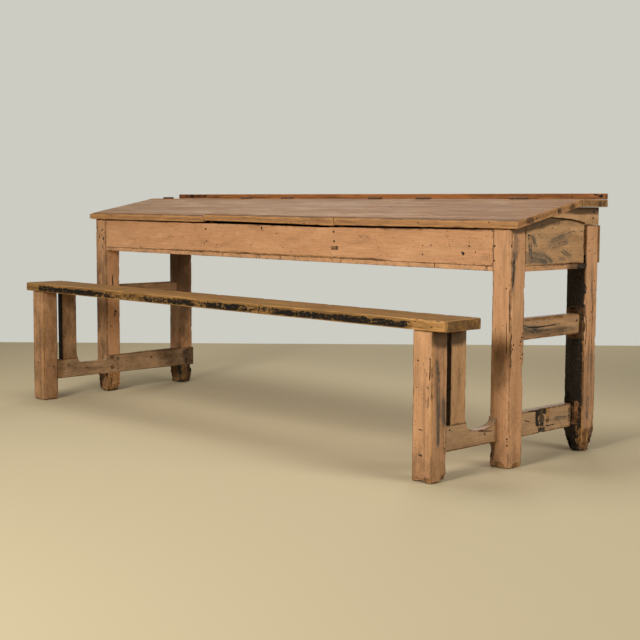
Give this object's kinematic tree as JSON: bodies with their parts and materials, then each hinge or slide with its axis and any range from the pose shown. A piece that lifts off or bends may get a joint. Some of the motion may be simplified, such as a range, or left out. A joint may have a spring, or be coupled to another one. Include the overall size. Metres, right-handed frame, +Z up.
{
  "type": "school desk with bench",
  "caption": "Long school desk in worn painted wood: sloping hinged lids over box compartments, a flat back shelf, and a plank bench joined to it by low side rails.",
  "frame": {"origin": "on the floor, at the middle of the footprint's bounding box", "axes": "+X along the desk towards the pupils' right, +Y from the bench to the back of the desk, +Z up"},
  "size_m": [2.242, 0.7954, 0.837],
  "materials": {
    "leg_paint": "worn salmon-pink oil paint",
    "apron_paint": "worn salmon-pink oil paint",
    "end_board_paint": "paint worn through to grey, with black smears",
    "divider_wood": "bare, dry",
    "back_board_wood": "bare, dry",
    "back_rail_wood": "bare, dry",
    "floor_paint": "thin worn paint",
    "mid_rail_paint": "worn paint with black patches",
    "low_rail_paint": "worn paint",
    "bench_leg_paint": "worn salmon-pink oil paint",
    "upright_paint": "worn salmon-pink oil paint",
    "seat_wood": "polished by use, black paint left on the front edge",
    "shelf_wood": "worn grey-brown",
    "strip_wood": "reddish stain with black patches",
    "lid_wood": "worn grey-pink brown",
    "batten_wood": "bare, dry",
    "hinge_iron": "dark rusted iron"
  },
  "bodies": {
    "desk": {"desk_leg_front_left": "leg_paint", "desk_leg_back_left": "leg_paint", "desk_leg_front_right": "leg_paint", "desk_leg_back_right": "leg_paint", "front_apron": "apron_paint", "end_board_left": "end_board_paint", "end_board_right": "end_board_paint", "divider_left": "divider_wood", "divider_right": "divider_wood", "back_board": "back_board_wood", "back_rail": "back_rail_wood", "floor_board_1": "floor_paint", "floor_board_2": "floor_paint", "floor_board_3": "floor_paint", "floor_board_4": "floor_paint", "floor_board_5": "floor_paint", "floor_board_6": "floor_paint", "floor_board_7": "floor_paint", "floor_board_8": "floor_paint", "floor_board_9": "floor_paint", "floor_board_10": "floor_paint", "floor_board_11": "floor_paint", "mid_rail_left": "mid_rail_paint", "mid_rail_right": "mid_rail_paint", "low_rail_left": "low_rail_paint", "low_rail_right": "low_rail_paint", "bench_leg_left": "bench_leg_paint", "bench_leg_right": "bench_leg_paint", "bench_upright_left": "upright_paint", "bench_upright_right": "upright_paint", "bench_seat": "seat_wood", "shelf": "shelf_wood", "rear_strip": "strip_wood", "hinge_fixed_leaf_left_1": "hinge_iron", "hinge_pin_left_1": "hinge_iron", "hinge_fixed_leaf_left_2": "hinge_iron", "hinge_pin_left_2": "hinge_iron", "hinge_fixed_leaf_middle_1": "hinge_iron", "hinge_pin_middle_1": "hinge_iron", "hinge_fixed_leaf_middle_2": "hinge_iron", "hinge_pin_middle_2": "hinge_iron", "hinge_fixed_leaf_right_1": "hinge_iron", "hinge_pin_right_1": "hinge_iron", "hinge_fixed_leaf_right_2": "hinge_iron", "hinge_pin_right_2": "hinge_iron"},
    "left_lid": {"lid_left": "lid_wood", "lid_batten_left_1": "batten_wood", "lid_batten_left_2": "batten_wood", "hinge_lid_leaf_left_1": "hinge_iron", "hinge_lid_leaf_left_2": "hinge_iron"},
    "middle_lid": {"lid_middle": "lid_wood", "lid_batten_middle_1": "batten_wood", "lid_batten_middle_2": "batten_wood", "hinge_lid_leaf_middle_1": "hinge_iron", "hinge_lid_leaf_middle_2": "hinge_iron"},
    "right_lid": {"lid_right": "lid_wood", "lid_batten_right_1": "batten_wood", "lid_batten_right_2": "batten_wood", "hinge_lid_leaf_right_1": "hinge_iron", "hinge_lid_leaf_right_2": "hinge_iron"}
  },
  "joints": [
    {"name": "left_lid_hinge", "type": "hinge", "parent": "desk", "child": "left_lid", "pos_m": [-0.73725, 0.25035, 0.8211], "axis": [-1, 0, 0], "range_deg": [0, 185]},
    {"name": "middle_lid_hinge", "type": "hinge", "parent": "desk", "child": "middle_lid", "pos_m": [0, 0.25035, 0.8211], "axis": [-1, 0, 0], "range_deg": [0, 185]},
    {"name": "right_lid_hinge", "type": "hinge", "parent": "desk", "child": "right_lid", "pos_m": [0.73725, 0.25035, 0.8211], "axis": [-1, 0, 0], "range_deg": [0, 185]}
  ]
}
